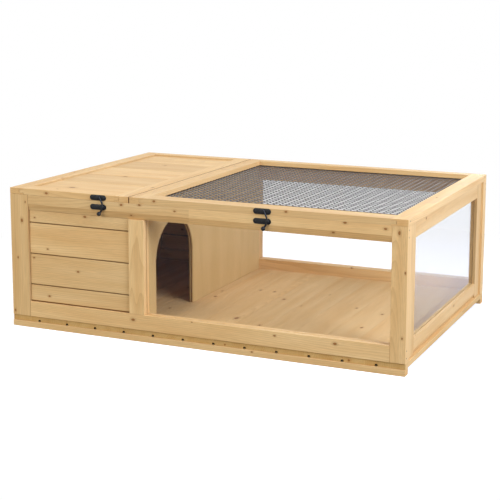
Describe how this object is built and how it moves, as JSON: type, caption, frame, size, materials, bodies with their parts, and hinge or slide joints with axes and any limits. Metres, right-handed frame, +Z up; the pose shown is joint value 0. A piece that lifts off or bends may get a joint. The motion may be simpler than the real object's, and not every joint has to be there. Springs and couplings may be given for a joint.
{
  "type": "tortoise house",
  "caption": "Indoor tortoise house of framed pine: boarded shelter, arched doorway, glazed run under a wire net, and back-hinged lids held by hook latches",
  "frame": {"origin": "middle of the footprint, on the surface that the plinths stand on", "axes": "+X to the right seen from the front (the side with the latches), +Y to the back, +Z up"},
  "size_m": [0.94, 0.6681, 0.322],
  "materials": {
    "pine": "planed softwood with fine straight grain and small brown knots, bare or thinly oiled",
    "plywood": "sanded softwood plywood, pale face veneer",
    "clear_acrylic": "clear acrylic sheet, polished, see-through",
    "galvanised_wire": "bright galvanised welded wire",
    "zinc_plated_steel": "zinc-plated pressed steel",
    "black_painted_steel": "black enamelled steel, satin"
  },
  "bodies": {
    "house": {"floor_boards": "pine", "plinth_front": "pine", "plinth_back": "pine", "front_stile_left": "pine", "front_stile_middle": "pine", "front_stile_right": "pine", "front_rail_top": "pine", "front_rail_bottom": "pine", "front_board_1": "pine", "front_board_2": "pine", "front_board_3": "pine", "front_board_4": "pine", "front_pane": "clear_acrylic", "back_stile_left": "pine", "back_stile_middle": "pine", "back_stile_right": "pine", "back_rail_top": "pine", "back_rail_bottom": "pine", "back_boards": "pine", "back_pane": "clear_acrylic", "left_stile_front": "pine", "left_stile_back": "pine", "left_rail_top": "pine", "left_rail_bottom": "pine", "left_boards": "pine", "right_stile_front": "pine", "right_stile_back": "pine", "right_rail_top": "pine", "right_rail_bottom": "pine", "right_pane": "clear_acrylic", "divider_panel": "plywood", "lid_rest_rail": "pine", "left_lid_hinge_fixed_1": "zinc_plated_steel", "left_lid_hinge_fixed_2": "zinc_plated_steel", "right_lid_hinge_fixed_1": "zinc_plated_steel", "right_lid_hinge_fixed_2": "zinc_plated_steel", "left_latch_plate": "black_painted_steel", "right_latch_plate": "black_painted_steel"},
    "left_lid": {"left_lid_stile_left": "pine", "left_lid_stile_right": "pine", "left_lid_rail_front": "pine", "left_lid_rail_back": "pine", "left_lid_board_1": "pine", "left_lid_board_2": "pine", "left_lid_board_3": "pine", "left_lid_board_4": "pine", "left_lid_board_5": "pine", "left_strike_plate": "black_painted_steel", "left_lid_hinge_moving_1": "zinc_plated_steel", "left_lid_hinge_moving_2": "zinc_plated_steel"},
    "right_lid": {"right_lid_stile_left": "pine", "right_lid_stile_right": "pine", "right_lid_rail_front": "pine", "right_lid_rail_back": "pine", "right_lid_mesh": "galvanised_wire", "right_strike_plate": "black_painted_steel", "right_lid_hinge_moving_1": "zinc_plated_steel", "right_lid_hinge_moving_2": "zinc_plated_steel"},
    "left_hook": {"left_hook_arm": "black_painted_steel"},
    "right_hook": {"right_hook_arm": "black_painted_steel"}
  },
  "joints": [
    {"name": "left_lid_hinge", "type": "hinge", "parent": "house", "child": "left_lid", "pos_m": [-0.3162, 0.3283, 0.30785], "axis": [-1, 0, 0], "range_deg": [0, 105]},
    {"name": "right_lid_hinge", "type": "hinge", "parent": "house", "child": "right_lid", "pos_m": [0.1546, 0.3283, 0.30785], "axis": [-1, 0, 0], "range_deg": [0, 105]},
    {"name": "left_hook_pivot", "type": "hinge", "parent": "house", "child": "left_hook", "pos_m": [-0.2252, -0.325, 0.2942], "axis": [0, 1, 0], "range_deg": [0, 100]},
    {"name": "right_hook_pivot", "type": "hinge", "parent": "house", "child": "right_hook", "pos_m": [0.16815, -0.325, 0.2942], "axis": [0, 1, 0], "range_deg": [0, 100]}
  ]
}
